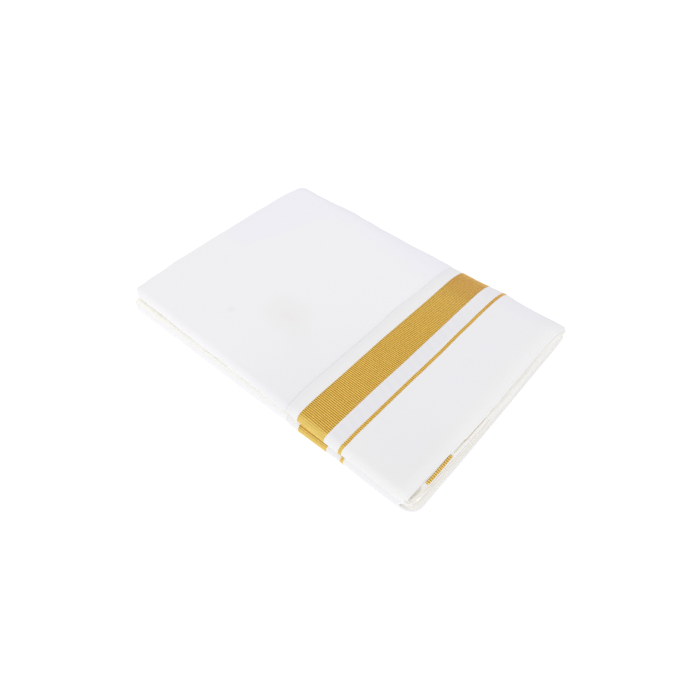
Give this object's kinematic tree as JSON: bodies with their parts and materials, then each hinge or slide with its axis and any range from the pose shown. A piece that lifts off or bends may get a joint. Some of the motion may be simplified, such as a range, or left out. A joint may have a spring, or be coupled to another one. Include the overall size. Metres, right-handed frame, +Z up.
{
  "type": "folded dhoti cloth",
  "caption": "Off-white cotton wrap cloth with a ribbed gold border band and a thin gold line, folded into a flat rectangular packet that lies on a surface.",
  "frame": {"origin": "middle of the packet's underside, on the surface it lies on", "axes": "+X towards the border's end of the packet, +Y towards its closed far fold, +Z up"},
  "size_m": [0.352, 0.2545, 0.0275],
  "materials": {
    "ground_cotton": "plain woven off-white cotton, matt",
    "border_cotton": "plain woven off-white cotton, matt",
    "hidden_plies": "off-white cotton fold edges, matt",
    "zari": "ribbed woven gold thread, soft metallic sheen"
  },
  "bodies": {
    "root": {"body_panel": "ground_cotton", "border_flap": "border_cotton", "folded_layers": "hidden_plies", "zari_band_upper": "zari", "zari_band_lower": "zari", "zari_line_upper": "zari", "zari_line_lower": "zari", "zari_end_bar": "zari"}
  },
  "joints": []
}
